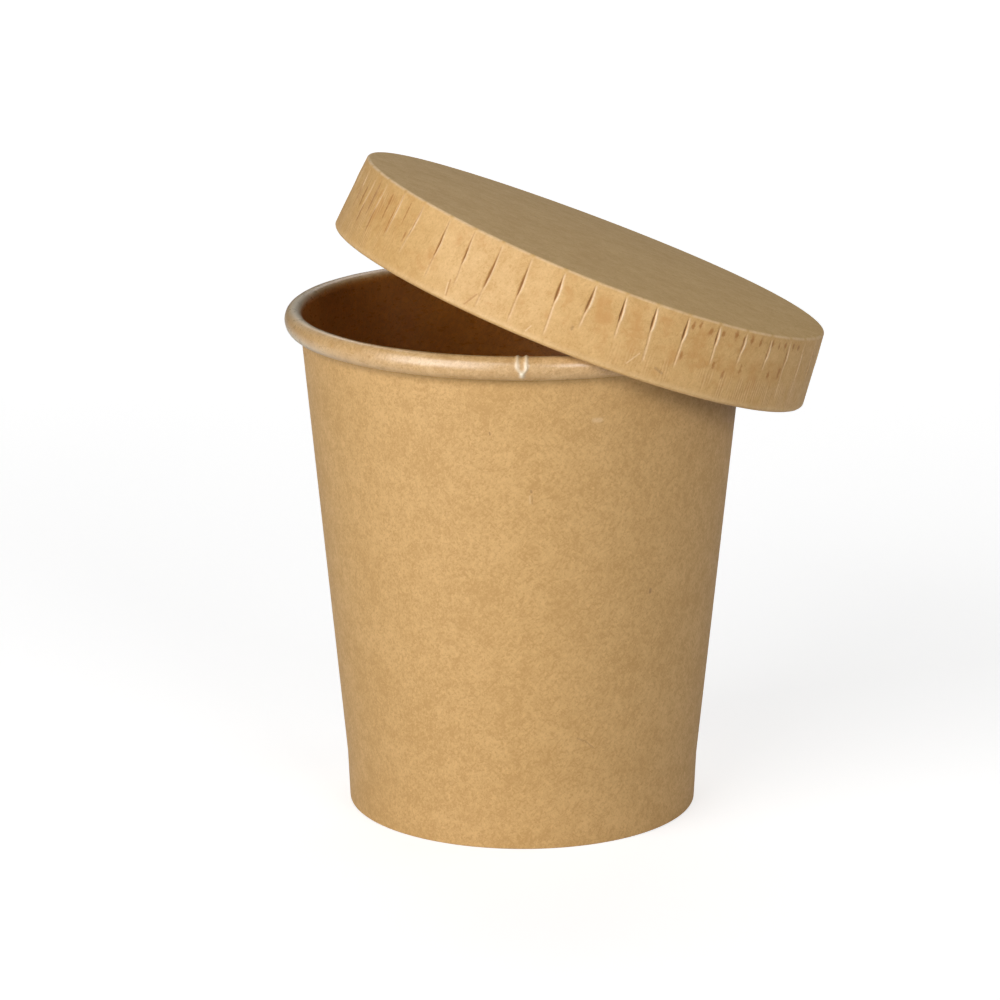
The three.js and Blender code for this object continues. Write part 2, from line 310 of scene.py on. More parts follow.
class Finish:
    """A material and short ways to add its nodes."""

    def __init__(self, name):
        self.material = bpy.data.materials.new(name)
        self.material.use_nodes = True
        self.tree = self.material.node_tree
        self.shader = next(n for n in self.tree.nodes if n.type == "BSDF_PRINCIPLED")

    def add(self, kind, **settings):
        node = self.tree.nodes.new(kind)
        for name, value in settings.items():
            setattr(node, name, value)
        return node

    def join(self, source, socket):
        """Links a socket, or sets a plain value on the other one."""
        if isinstance(source, bpy.types.NodeSocket):
            self.tree.links.new(source, socket)
        else:
            socket.default_value = source

    def math(self, operation, first, second=0.0):
        node = self.add("ShaderNodeMath", operation=operation)
        self.join(first, node.inputs[0])
        self.join(second, node.inputs[1])
        return node.outputs[0]

    def remap(self, value, low, high, to_low, to_high):
        node = self.add("ShaderNodeMapRange", interpolation_type="SMOOTHSTEP")
        for socket, given in zip(node.inputs, (value, low, high, to_low, to_high)):
            self.join(given, socket)
        return node.outputs[0]

    def mix(self, factor, first, second, blend="MIX"):
        node = self.add("ShaderNodeMix", data_type="RGBA", blend_type=blend)
        self.join(factor, node.inputs["Factor"])
        self.join(first, node.inputs[6])
        self.join(second, node.inputs[7])
        return node.outputs[2]

    def attribute(self, name, output="Fac"):
        return self.add("ShaderNodeAttribute", attribute_name=name).outputs[output]

    def place(self, source, turn=(0, 0, 0), longer=(1, 1, 1)):
        """The place on the piece for grain that is this much longer along axes turned so."""
        node = self.add("ShaderNodeMapping", vector_type="TEXTURE")
        self.join(source, node.inputs["Vector"])
        node.inputs["Rotation"].default_value = turn
        node.inputs["Scale"].default_value = longer
        return node.outputs[0]

    def clouds(self, place, feature, detail=2.0, roughness=0.5, distortion=0.0):
        """Noise whose features are about this large, in metres."""
        node = self.add("ShaderNodeTexNoise")
        self.join(place, node.inputs["Vector"])
        node.inputs["Scale"].default_value = 1 / feature
        node.inputs["Detail"].default_value = detail
        node.inputs["Roughness"].default_value = roughness
        node.inputs["Distortion"].default_value = distortion
        return node.outputs["Fac"]

    def dots(self, place, spacing, radius, kept):
        """1 in the middle of scattered dots and 0 off them. Kept is the share of dots that show."""
        node = self.add("ShaderNodeTexVoronoi")
        self.join(place, node.inputs["Vector"])
        node.inputs["Scale"].default_value = 1 / spacing
        near = self.remap(node.outputs["Distance"], radius / spacing, 0.3 * radius / spacing, 0, 1)
        pick = self.add("ShaderNodeSeparateColor")
        self.join(node.outputs["Color"], pick.inputs[0])
        shown = self.math("LESS_THAN", pick.outputs[0], kept)
        return self.math("MULTIPLY", near, shown)

    def mark(self, place, start, end, half_width, softness=0.6):
        """1 on a short line from start to end, a speck where they are one point, and 0 off it."""
        start, along = Vector(start), Vector(end) - Vector(start)
        span = max(along.length, 1e-6)
        from_start = self.vector_math("SUBTRACT", place, start, 0)
        run = self.vector_math("DOT_PRODUCT", from_start, along / span ** 2, 1)
        run = self.math("MINIMUM", self.math("MAXIMUM", run, 0), 1)
        near = self.add("ShaderNodeVectorMath", operation="SCALE")
        near.inputs[0].default_value = along
        self.join(run, near.inputs["Scale"])
        distance = self.vector_math("DISTANCE", from_start, near.outputs[0], 1)
        return self.remap(distance, (1 + softness) * half_width, (1 - softness) * half_width, 0, 1)

    def vector_math(self, operation, first, second, output):
        node = self.add("ShaderNodeVectorMath", operation=operation)
        self.join(first, node.inputs[0])
        self.join(second, node.inputs[1])
        return node.outputs[output]

    def marked(self, paper, place, marks, tone, strength):
        """The paper with each of these marks in one tone."""
        shown = self.mark(place, *marks[0])
        for mark in marks[1:]:
            shown = self.math("MAXIMUM", shown, self.mark(place, *mark))
        return self.mix(self.math("MULTIPLY", shown, strength), paper, (*tone, 1))

    def total(self, *values):
        result = values[0]
        for value in values[1:]:
            result = self.math("ADD", result, value)
        return result

    def scaled(self, value, amount):
        """Noise about its middle, times an amount."""
        return self.math("MULTIPLY", self.math("SUBTRACT", value, 0.5), amount)

    def relief(self, height, strength, distance):
        node = self.add("ShaderNodeBump")
        node.inputs["Strength"].default_value = strength
        node.inputs["Distance"].default_value = distance
        self.join(height, node.inputs["Height"])
        self.join(node.outputs["Normal"], self.shader.inputs["Normal"])


# Features of the paper, in metres.
CLOUD = 0.013
FLOCK = 0.0034
GRAIN = 0.0011
FIBRE = 0.00036
FIBRE_LENGTH = 4.5  # times its width
SPECK_SPACING, SPECK_RADIUS = 0.0042, 0.0002
RAGGED_EDGE = 0.0009  # of blotches and scuffs
TINGE_PATCH = 0.0024
RIM_STREAK = 0.0022
# Turns about y and z that lay fibres level, upright, slanting both ways and towards the sides.
FIBRE_TURNS = ((-0.3, 0.15), (-1.2, 0.6), (-0.8, -0.1), (0.75, 0.15), (-0.3, 1.4), (0.75, 1.3))


def fibres(finish, place):
    """Short thin fibres that lie every way: pale ones above 0 and dark ones below it."""
    layers = []
    for turn_y, turn_z in FIBRE_TURNS:
        lying = finish.place(place, turn=(0, turn_y, turn_z), longer=(FIBRE_LENGTH, 1, 1))
        streak = finish.clouds(lying, FIBRE, detail=0.0, distortion=0.5)
        pale = finish.remap(streak, 0.66, 0.8, 0, 0.7)
        dark = finish.remap(streak, 0.36, 0.2, 0, 1)
        layers.append(finish.math("SUBTRACT", pale, dark))
    return finish.total(*layers)


def paper_grain(finish, place, fineness=1.0):
    """The tone of kraft paper, from about 0 to 1 with 0.5 in the middle, and its fine relief.
    Fineness is how much its finest grain and fibres show."""
    clouds = finish.clouds(place, CLOUD, detail=1.5)
    flocks = finish.clouds(place, FLOCK, detail=2.0, roughness=0.6, distortion=0.3)
    grain = finish.clouds(place, GRAIN, detail=2.5, roughness=0.7, distortion=0.4)
    lying = fibres(finish, place)
    tone = finish.total(
        0.5,
        finish.scaled(clouds, 0.7),
        finish.scaled(flocks, 1.2),
        finish.scaled(grain, 1.4 * fineness),
        finish.math("MULTIPLY", lying, 0.42 * fineness),
    )
    relief = finish.total(grain, finish.math("MULTIPLY", lying, 0.3))
    return tone, relief


def plain_kraft(name, colours, light, dark, fineness, place_name=None):
    """Uncoated kraft paper: cloudy, with short fibres and a few dark specks. Gives the finish begun,
    the place on the piece, the paper's tone, its colour and its fine relief."""
    finish = Finish(name)
    if place_name:
        place = finish.attribute(place_name, "Vector")
    else:
        place = finish.add("ShaderNodeTexCoord").outputs["Object"]
    tone, relief = paper_grain(finish, place, fineness)
    paper = finish.mix(tone, (*dark, 1), (*light, 1))
    specks = finish.dots(place, SPECK_SPACING, SPECK_RADIUS, kept=0.12)
    paper = finish.mix(finish.math("MULTIPLY", specks, 0.4), paper, (*colours.speck, 1))
    return finish, place, tone, paper, relief


def finish_kraft(finish, tone, paper, relief):
    """The surface of uncoated paper: dull, with a faint sheen of fibres."""
    shader = finish.shader
    finish.join(paper, shader.inputs["Base Color"])
    finish.join(finish.remap(tone, 0, 1, 0.6, 0.48), shader.inputs["Roughness"])
    shader.inputs["Specular IOR Level"].default_value = 0.5
    shader.inputs["Sheen Weight"].default_value = 0.06
    shader.inputs["Sheen Roughness"].default_value = 0.5
    finish.relief(relief, 0.22, 0.00012)
    return finish.material


# Marks in the cup's paper, in degrees and millimetres: azimuth and height of one end, the same of
# the other end, and half the width.
CUP_SPECKS = (
    (-98.7, 89.4, -98.6, 88.9, 0.13),
    (-51.4, 53.8, -51.5, 53.3, 0.3),
    (-88.1, 77.3, -88.0, 77.0, 0.2),
)
CUP_FIBRES = (
    (-73.2, 23.8, -71.4, 23.1, 0.16),
    (-71.0, 23.2, -68.0, 21.4, 0.14),
    (-87.8, 76.4, -87.7, 74.6, 0.11),
)
CUP_PALE_FLECKS = (
    (-72.0, 91.5, -70.2, 91.4, 0.45),
    (-88.4, 76.2, -88.3, 74.7, 0.14),
)


def placed_marks(marks, on_surface):
    """(start, end, half width) of marks, in metres. On_surface finds the place at an azimuth and
    at a height on the wall or a drop down the skirt."""
    def place(azimuth, along):
        return on_surface(math.radians(azimuth), along * MILLIMETRE)

    return [
        (place(azimuth, along), place(end_azimuth, end_along), half_width * MILLIMETRE)
        for azimuth, along, end_azimuth, end_along, half_width in marks
    ]


def cup_marks(cup, marks):
    """Marks on the outside of the wall."""
    def on_wall(turn, height):
        radius = wall_radius(cup, height)
        return CUP_AXIS.x + radius * math.cos(turn), CUP_AXIS.y + radius * math.sin(turn), height

    return placed_marks(marks, on_wall)


def cup_kraft(settings):
    """The paper of the cup's outside, with the specks and fibres that stand out in it."""
    colours, cup = settings.colours, settings.cup
    finish, place, tone, paper, relief = plain_kraft(
        "cup kraft paper", colours, colours.cup_light, colours.cup_dark, 1.0
    )
    paper = finish.marked(paper, place, cup_marks(cup, CUP_PALE_FLECKS), colours.pale_fibre, 0.35)
    paper = finish.marked(paper, place, cup_marks(cup, CUP_FIBRES), colours.speck, 0.3)
    paper = finish.marked(paper, place, cup_marks(cup, CUP_SPECKS), colours.speck, 0.6)
    return finish_kraft(finish, tone, paper, relief)


# Marks in the lid's paper, in degrees and millimetres: azimuth and how far below the top, of both
# ends, and half the width.
LID_CREASES = (
    (-131.6, 11.3, -131.1, 14.4, 0.16),
    (-126.2, 14.4, -124.4, 11.7, 0.16),
)
LID_PALE_CREASES = (
    (-111.1, 14.3, -110.4, 13.0, 0.13),
    (-88.0, 13.2, -85.9, 10.5, 0.13),
    (-131.9, 12.0, -131.5, 14.2, 0.13),
)
LID_FIBRES = (
    (-101.9, 10.1, -101.9, 10.6, 0.24),
    (-81.3, 12.3, -79.4, 12.9, 0.24),
)
LID_TOP_SPECK = (-179.8, 14.03, 0.3)  # azimuth, distance from the middle and half the width
CORRUGATIONS = 492  # fine ridges round the whole skirt
CORRUGATION_BENDS, CORRUGATION_FADES = 0.0016, 0.0022  # size of what bends and fades them


def lid_marks(lid, marks):
    """Marks on the skirt."""
    def on_skirt(turn, drop):
        radius = skirt_radius(lid, drop)
        return radius * math.cos(turn), radius * math.sin(turn), -drop

    return placed_marks(marks, on_skirt)


def top_speck(lid):
    """(start, end, half width) of the speck on the lid's top, in metres."""
    azimuth, radius, half_width = LID_TOP_SPECK
    turn, away = math.radians(azimuth), radius * MILLIMETRE
    place = (away * math.cos(turn), away * math.sin(turn), disc_height(lid, away))
    return place, place, half_width * MILLIMETRE


def corrugations(finish, place):
    """Upright ridges where the skirt's paper is drawn together, from 0 to 1."""
    parts = finish.add("ShaderNodeSeparateXYZ")
    finish.join(place, parts.inputs[0])
    azimuth = finish.math("ARCTAN2", parts.outputs[1], parts.outputs[0])
    upright = finish.place(place, longer=(1, 1, 5))
    bends = finish.scaled(finish.clouds(upright, CORRUGATION_BENDS, detail=1.0), 10)
    wave = finish.math("SINE", finish.total(finish.math("MULTIPLY", azimuth, CORRUGATIONS), bends))
    fades = finish.remap(finish.clouds(upright, CORRUGATION_FADES, detail=1.0), 0.38, 0.62, 0.1, 1)
    height = finish.math("MULTIPLY", finish.math("MULTIPLY", wave, fades), finish.attribute("drawn"))
    return finish.math("ADD", finish.math("MULTIPLY", height, 0.5), 0.5)


def lid_kraft(settings):
    """The lid's paper: blotched by the pleats, with painted shade in their slits, pale folds that are
    partly scuffs and partly painted highlight, painted shade and highlight on its fine ridges and a
    painted olive tint on its top.
    """
    colours, lid = settings.colours, settings.lid
    finish, place, tone, paper, relief = plain_kraft(
        "lid kraft paper", colours, colours.lid_light, colours.lid_dark, 0.6, "lid_place"
    )
    # Painted light: the top is tinted olive for the grey cast that light glancing off it gives.
    painted_top_paper = finish.mix(1, paper, (*colours.lid_top_painted_tint, 1), "MULTIPLY")
    paper = finish.mix(finish.attribute("top"), paper, painted_top_paper)
    ragged = finish.clouds(place, RAGGED_EDGE, detail=2.0, roughness=0.6)
    patches = finish.clouds(place, TINGE_PATCH, detail=3.0, roughness=0.65, distortion=0.4)
    tinged = finish.math("MULTIPLY", finish.attribute("tinge"), 0.75)
    tinged = finish.math("ADD", tinged, finish.scaled(patches, 3.2))
    tinged = finish.math("SUBTRACT", tinged, finish.attribute("top"))
    paper = finish.mix(finish.remap(tinged, 0.0, 1.3, 0, 0.85), paper, (*colours.tinge, 1))
    worked = finish.total(finish.attribute("blotch"), finish.scaled(ragged, 1.2))
    blotches = finish.remap(worked, 0.15, 0.8, 0, 0.95)
    paper = finish.mix(blotches, paper, (*colours.blotch, 1))
    ridges = corrugations(finish, place)
    # Painted shade in the troughs of the fine ridges and painted highlight on their crests.
    paper = finish.mix(finish.remap(ridges, 0.5, 0.1, 0, 0.34), paper, (*colours.blotch, 1))
    paper = finish.mix(finish.remap(ridges, 0.55, 0.95, 0, 0.25), paper, (*colours.lip, 1))
    # Pale folded edges: partly scuffs, partly a painted highlight where the edge faces the light.
    fold_scuffs_and_highlights = finish.math("MULTIPLY", finish.attribute("lip"), finish.remap(ragged, 0.3, 0.6, 0.6, 1))
    paper = finish.mix(fold_scuffs_and_highlights, paper, (*colours.lip, 1))
    paper = finish.marked(paper, place, lid_marks(lid, LID_PALE_CREASES), colours.lip, 0.4)
    paper = finish.marked(paper, place, lid_marks(lid, LID_CREASES), colours.blotch, 0.6)
    paper = finish.marked(paper, place, lid_marks(lid, LID_FIBRES), colours.speck, 0.35)
    paper = finish.marked(paper, place, [top_speck(lid)], colours.speck, 0.5)
    # Painted shade in the slits and along the creases.
    paper = finish.mix(finish.attribute("slit"), paper, (*colours.slit, 1))
    return finish_kraft(finish, tone, paper, finish.total(relief, ridges))


def coated_board(colours):
    """The coated side of the board: satin and pale on the rolled rim, where the roll has stretched it in
    fine streaks, with whitish painted sheen on parts of the rim, and a deeper, darker brown inside,
    which is painted shade on the same board."""
    finish = Finish("coated kraft board")
    place = finish.add("ShaderNodeTexCoord").outputs["Object"]
    tone, relief = paper_grain(finish, place)
    shader = finish.shader
    rim = finish.mix(tone, (*colours.rim_dark, 1), (*colours.rim_light, 1))
    # The inside's deeper, darker brown is painted shade on the same coated board as the rim.
    inside = finish.mix(tone, (*colours.shaded_inside_dark, 1), (*colours.shaded_inside_light, 1))
    # Whitish painted sheen on the seam's ridges, along the rim's inner shoulder and on the far side's
    # upper and lower edges.
    rim = finish.mix(finish.attribute("scuffed"), rim, (*colours.painted_sheen_colour, 1))
    finish.join(finish.mix(finish.attribute("inside"), rim, inside), shader.inputs["Base Color"])
    level = finish.place(place, longer=(1, 1, 0.4))
    streaks = finish.clouds(level, RIM_STREAK, detail=3.0, roughness=0.65)
    finish.join(finish.remap(streaks, 0.3, 0.7, 0.24, 0.46), shader.inputs["Roughness"])
    shader.inputs["Specular IOR Level"].default_value = 0.6
    shader.inputs["Coat Weight"].default_value = 1.0
    shader.inputs["Coat Roughness"].default_value = 0.3
    finish.relief(finish.total(finish.scaled(relief, 0.4), streaks), 0.2, 0.00016)
    return finish.material


# ---------------------------------------------------------------- cup

FOLD_STEPS = 6
RIM_STEPS = 44
WALL_ROWS = 44
INSIDE_ROWS = 26
WALL_COLUMNS = 360
SEAM_REACH = 2.4 * MILLIMETRE  # the columns are close together this far on each side of the seam
SEAM_COLUMNS = 48


def wall_radius(cup, height):
    """Outside radius of the wall: nearly upright along the crimp, then the cup's taper."""
    if height < cup.crimp_height:
        return cup.foot_radius + (cup.crimp_radius - cup.foot_radius) * height / cup.crimp_height
    under_rim = cup.height - 2 * cup.rim_half_height
    along = (height - cup.crimp_height) / (under_rim - cup.crimp_height)
    return cup.crimp_radius + (cup.wall_top_radius - cup.crimp_radius) * along


def wall_azimuths(cup):
    """The wall's columns, closer together at the seam than elsewhere."""
    reach = SEAM_REACH / cup.rim_radius
    even = even_azimuths(WALL_COLUMNS)
    from_seam = turned_to(even, cup.seam_azimuth)
    away = from_seam[np.abs(from_seam) > reach + math.pi / WALL_COLUMNS]
    near = np.linspace(-reach, reach, SEAM_COLUMNS)
    return np.sort(np.concatenate((away, near))) + cup.seam_azimuth


SEAM_RIDGE, SEAM_HOLLOW, SEAM_DROP = 0.00033, 0.0003, 0.00052  # half widths


def seam_relief(cup, aside, turn):
    """(how far out, how much painted highlight) at the rim's seam: two ridges that run together into a
    drop below the rim, painted pale as highlights. Aside is the distance along the rim, and turn the
    angle round its section, 0 outwards."""
    spread = cup.seam_width / 2 * ramp(turn, math.radians(-24), math.radians(8))
    starts = ramp(turn, math.radians(-32), math.radians(-6))
    fades = starts * (1 - ramp(turn, math.radians(120), math.radians(155)))
    ridges = fades * (bump(aside - spread, SEAM_RIDGE) + 0.8 * bump(aside + spread, SEAM_RIDGE))
    drop = bump(aside, SEAM_DROP) * bump(turn + math.radians(26), math.radians(20))
    hollow = fades * bump(aside, SEAM_HOLLOW) * ramp(turn, 0.3, 0.9)
    out = cup.seam_rise * (ridges + 1.3 * drop - 0.3 * hollow)
    # The second value is a painted highlight on the ridges and the drop.
    return out, np.clip(0.62 * ridges + 0.85 * drop, 0, 1)


SHEEN_AZIMUTH = math.radians(-176)  # the rim's coating gets a whitish painted sheen on this side
SHEEN_REACH = math.radians(26)


def painted_rim_sheen(azimuths, turn):
    """How much whitish painted sheen the rim's coating gets: most on the rim's inner edge and on its
    lower edge.
    """
    upper = bump(turn - math.radians(104), math.radians(46))
    lower = bump(turn + math.radians(34), math.radians(27))
    return 0.95 * bump(turned_to(azimuths, SHEEN_AZIMUTH), SHEEN_REACH) * (upper + lower)


def rim_rings(cup, azimuths):
    """The rolled rim: an oval bead whose inner side carries on from the inside of the wall."""
    half_width = (cup.rim_radius - cup.wall_top_radius + cup.board) / 2
    centre_radius = cup.rim_radius - half_width
    centre_height = cup.height - cup.rim_half_height
    meeting = math.degrees(math.acos((cup.wall_top_radius - centre_radius) / half_width))
    aside = (azimuths - cup.seam_azimuth) * cup.rim_radius
    rings = []
    for radius, height, turn in arc(
        centre_radius, centre_height, half_width, cup.rim_half_height, -meeting, 180, RIM_STEPS
    ):
        plain = circle(azimuths, radius, height)
        slow = wavering(plain, 0.006, 3)
        quick = wavering(plain, 0.0022, 4)
        seated = bump(turn, math.radians(75)) + bump(turn - math.radians(100), math.radians(45))
        seam, scuffed = seam_relief(cup, aside, turn)
        swell = 0.6 * slow + 0.4 * quick - 0.6
        out = cup.unevenness * swell * np.minimum(seated, 1) + seam
        # A painted highlight along the rim's inner shoulder.
        inner_edge_highlight = 0.2 * bump(turn - math.radians(128), math.radians(9))
        rings.append(Ring(
            circle(azimuths, radius + out * math.cos(turn), height + out * math.sin(turn)), COATED,
            inside=ramp(turn, math.radians(128), math.radians(160)),
            scuffed=np.maximum(np.maximum(scuffed, painted_rim_sheen(azimuths, turn)), inner_edge_highlight),
        ))
    return rings


def wall_inside_radius(cup, height):
    """Inside radius of the wall's board, in the slot of the foot too."""
    return wall_radius(cup, height) - cup.board


def hem_outside_radius(cup, height):
    """Outside radius of the hem that is folded up inside the foot: the slot's inner side."""
    return wall_inside_radius(cup, height) - cup.board - 2 * cup.slot_gap


def profile_rings(azimuths, profile, finish):
    """Rings through a profile that starts with (radius, height) at each of its points."""
    inside = float(finish == COATED)
    return [Ring(circle(azimuths, point[0], point[1]), finish, inside=inside) for point in profile]


def cup_wall_rings(cup):
    """The wall: up the outside, over the rolled rim, down the inside and round the foot's hem."""
    azimuths = wall_azimuths(cup)
    fold = cup.fold_round
    half_board = cup.board / 2
    under_rim = cup.height - 2 * cup.rim_half_height
    rim_middle = cup.height - cup.rim_half_height
    outside = [
        *arc(cup.foot_radius - fold, fold, fold, fold, -90, 0, FOLD_STEPS),
        *[(wall_radius(cup, z), z) for z in np.linspace(0.001, cup.crimp_height, 8)],
        *[(wall_radius(cup, z), z) for z in np.linspace(cup.crimp_height, under_rim, WALL_ROWS)[1:-1]],
    ]
    top_inside = cup.wall_top_radius - cup.board
    crimp_inside = cup.crimp_radius - cup.board
    inside = []
    for z in np.linspace(rim_middle, cup.crimp_height, INSIDE_ROWS)[1:]:
        along = (z - cup.crimp_height) / (rim_middle - cup.crimp_height)
        inside.append((crimp_inside + (top_inside - crimp_inside) * along, z))
    inside.append((wall_inside_radius(cup, cup.slot_floor), cup.slot_floor))
    inside.append((hem_outside_radius(cup, cup.slot_floor), cup.slot_floor))
    hem_top = hem_outside_radius(cup, cup.fold_top) - half_board
    hem_foot = hem_outside_radius(cup, 0) - cup.board + fold
    hem = [
        *arc(hem_top, cup.fold_top - half_board, half_board, half_board, 0, 180, 6),
        *arc(hem_foot, fold, fold, fold, 180, 270, FOLD_STEPS),
    ]
    return [
        *profile_rings(azimuths, outside, KRAFT),
        *rim_rings(cup, azimuths),
        *profile_rings(azimuths, inside, COATED),
        *profile_rings(azimuths, hem, KRAFT),
    ]


# (radius, every how many columns) of the rings of the base's disc, in metres.
BASE_REDUCTIONS = ((0.004, 8), (0.009, 4), (0.015, 2), (0.022, 2), (0.028, 1), (0.032, 1))


def cup_base_rings(cup):
    """The base: a disc with its edge turned down into the slot of the foot."""
    azimuths = even_azimuths(WALL_COLUMNS)
    underside = cup.base_top - cup.board

    def flange_outside(height):
        return wall_inside_radius(cup, height) - cup.slot_gap

    flat_radius = flange_outside(cup.base_top) - cup.base_round

    def sag(radius):
        return cup.base_sag * (1 - (radius / flat_radius) ** 2)

    corner = arc(flat_radius, cup.base_top - cup.base_round, cup.base_round, cup.base_round, 0, 90, 5)
    flange = (
        (flange_outside(underside) - cup.board, underside),
        (flange_outside(cup.flange_foot) - cup.board, cup.flange_foot),
        (flange_outside(cup.flange_foot), cup.flange_foot),
    )
    return [
        Ring([(0, 0, underside - sag(0))]),
        *[
            Ring(circle(azimuths[::step], radius, underside - sag(radius)))
            for radius, step in BASE_REDUCTIONS
        ],
        *profile_rings(azimuths, flange, KRAFT),
        *profile_rings(azimuths, corner, COATED),
        *[
            Ring(circle(azimuths[::step], radius, cup.base_top - sag(radius)), COATED, inside=1)
            for radius, step in reversed(BASE_REDUCTIONS)
        ],
        Ring([(0, 0, cup.base_top - sag(0))], COATED, inside=1),
    ]


def set_on_axis(mesh):
    """Moves a mesh made about the cup's axis to where the cup stands."""
    mesh.transform(Matrix.Translation((CUP_AXIS.x, CUP_AXIS.y, 0)))


# ---------------------------------------------------------------- lid

# Places across one pleat, in millimetres from its slit, which is at 0.
PLEAT_PLACES = (
    -3.2, -2.7, -2.25, -1.8, -1.4, -1.0, -0.7, -0.45, -0.28, -0.14, 0, 0.1,
    0.2, 0.3, 0.42, 0.58, 0.8, 1.1, 1.45, 1.8, 2.1, 2.4, 2.75, 3.1,
)
SLIT_REACH = 1.0 * MILLIMETRE  # places this close to a slit keep their distance from it
NARROWEST = 0.01 * MILLIMETRE  # half a slit's width where it is shut
CREASE_WIDTH, CREASE_DEPTH = 0.12 * MILLIMETRE, 0.1 * MILLIMETRE
LIP_AWAY, LIP_WIDTH = 0.2 * MILLIMETRE, 0.22 * MILLIMETRE  # the folded edge beside a slit
FOLD_LENGTH = 1.2 * MILLIMETRE  # how far that edge takes to come down to the panel
BELLY_RISE, BELLY_WIDTH = 0.04 * MILLIMETRE, 3.3 * MILLIMETRE  # the panel between two slits
WANDER, WANDER_LENGTH = 0.07 * MILLIMETRE, 7 * MILLIMETRE  # how the whole skirt is uneven
HEM_HIGHLIGHT_WIDTH = 0.45 * MILLIMETRE  # the painted highlight along the hem's rounded edge
SKIRT_ROWS = 38
EDGE_STEPS = 6
CORNER_STEPS = 6
HEM_STEPS = 14
# (radius in millimetres, every how many columns) of the rings of the lid's top.
DISC_REDUCTIONS = (
    (49.2, 2), (47.5, 2), (45.5, 2), (42.5, 6), (39, 6), (35, 6), (30, 6),
    (24, 18), (18, 18), (12, 18), (6, 18),
)

# The pleats that show, numbered to the right, with 0 for the first wide one on the left: how many
# degrees each is off its even place, then in millimetres where its slit opens and closes and where
# its crease ends, below the top, how far it leans to the right on its way down, and its width; last
# how pale its folded edge is.
SEEN_PLEATS = (
    (-4, -3.9, 2.6, 9.0, 11.5, -0.8, 0.25, 0.9),
    (-3, -4.1, 1.4, 7.5, 11.0, -0.9, 0.25, 0.9),
    (-2, -2.8, 1.2, 7.0, 10.5, -0.3, 0.25, 0.9),
    (-1, -2.1, 1.8, 7.5, 12.0, -0.9, 0.3, 0.85),
    (0, -0.35, 2.0, 9.0, 13.9, -0.1, 0.62, 0.5),
    (1, -0.22, 2.2, 7.8, 12.8, 0.3, 0.55, 0.55),
    (2, 0.04, 2.4, 10.3, 14.6, -0.35, 0.6, 0.6),
    (3, 0.15, 2.6, 8.9, 14.6, 0.1, 0.6, 0.7),
    (4, 0.66, 1.8, 7.0, 14.4, 0.35, 0.68, 1.25),
    (5, 0.42, 1.5, 6.7, 10.5, -0.3, 0.62, 1.1),
    (6, -0.1, 1.3, 6.2, 10.0, 0.4, 0.55, 1.2),
    (7, -0.53, 1.1, 5.8, 12.6, 0.6, 0.6, 1.3),
    (8, -0.45, 1.2, 5.8, 11.7, 0.1, 0.62, 1.2),
    (9, -0.11, 1.1, 4.9, 9.0, 0.3, 0.55, 1.2),
    (10, -0.03, 1.4, 4.9, 8.0, -0.3, 0.5, 1.1),
    (11, 0.62, 1.6, 5.6, 8.2, -0.2, 0.55, 1.0),
)
SEEN_FROM = 30  # the pleat, counted from +X, that is number 0 above
OFF_EVEN_FADES = (-14, 16)  # from these numbers on, the pleats are at their even places
# The least and most of the same values of the other pleats, from where the slit opens on.
UNSEEN_PLEATS = ((1.1, 2.4), (5, 9), (9, 14.5), (-0.5, 0.5), (0.4, 0.68), (0.5, 1.3))

# Blotches by the pleats that show, and tall ones at the far left: azimuth, then in millimetres how
# far below the top, half width and half height.
SEEN_BLOTCHES = (
    (-75.8, 2.2, 0.4, 1.0), (-74.1, 1.5, 0.35, 0.9), (-71.0, 2.4, 0.5, 0.9), (-67.6, 2.0, 0.4, 0.9),
    (-63.7, 1.7, 0.5, 1.0), (-61.2, 2.1, 0.3, 0.8), (-58.7, 1.9, 0.5, 1.0), (-55.7, 2.1, 0.35, 1.0),
    (-51.4, 1.9, 0.4, 0.9), (-48.6, 2.2, 0.3, 0.8), (-46.1, 1.9, 0.45, 0.9), (-42.4, 1.9, 0.35, 0.8),
    (-39.5, 2.0, 0.4, 0.8), (-76.4, 8.6, 0.35, 1.0), (-67.6, 8.6, 0.35, 0.9), (-64.2, 9.7, 0.35, 0.8),
    (-59.5, 8.3, 0.35, 1.0), (-49.5, 8.0, 0.4, 1.0), (-45.4, 7.4, 0.4, 1.1), (-158.5, 5.0, 0.25, 3.0),
    (-166.0, 5.0, 0.35, 3.4), (-151.0, 4.0, 0.2, 2.6), (-172.0, 6.0, 0.4, 3.5), (-162.8, 8.5, 0.3, 3.0),
    (-155.3, 7.0, 0.2, 3.0), (-169.3, 9.0, 0.35, 2.6), (-176.0, 6.0, 0.5, 4.0), (-148.6, 8.0, 0.2, 2.2),
)
# Where the skirt is warmly tinged, given the same way.
SEEN_TINGES = (
    (-105.5, 4.0, 1.4, 3.0), (-97.5, 4.0, 1.8, 3.5), (-89.5, 4.5, 1.8, 3.5), (-82.0, 3.5, 1.8, 3.0),
    (-74.0, 3.0, 2.0, 2.4), (-66.5, 3.0, 1.8, 2.4), (-58.5, 3.5, 2.0, 2.8), (-78.0, 9.0, 2.2, 2.2),
    (-63.0, 9.0, 3.0, 2.2), (-47.0, 7.5, 3.0, 2.5), (-127.0, 2.5, 1.2, 1.6), (-133.5, 3.0, 1.2, 1.6),
    (-160.0, 6.0, 7.0, 5.0), (-95.5, 8.0, 2.0, 3.5), (-87.5, 8.0, 1.4, 3.0), (-71.5, 8.0, 2.5, 3.0),
    (-54.5, 8.5, 2.0, 3.0), (-139.0, 9.0, 2.0, 2.5),
)
UNSEEN_BLOTCHES = 60
SEED = 11


def skirt_radius(lid, drop):
    """Outside radius of the skirt this far below the edge of the top."""
    return lid.top_radius + (lid.foot_radius - lid.top_radius) * drop / (lid.height - lid.hem_corner)


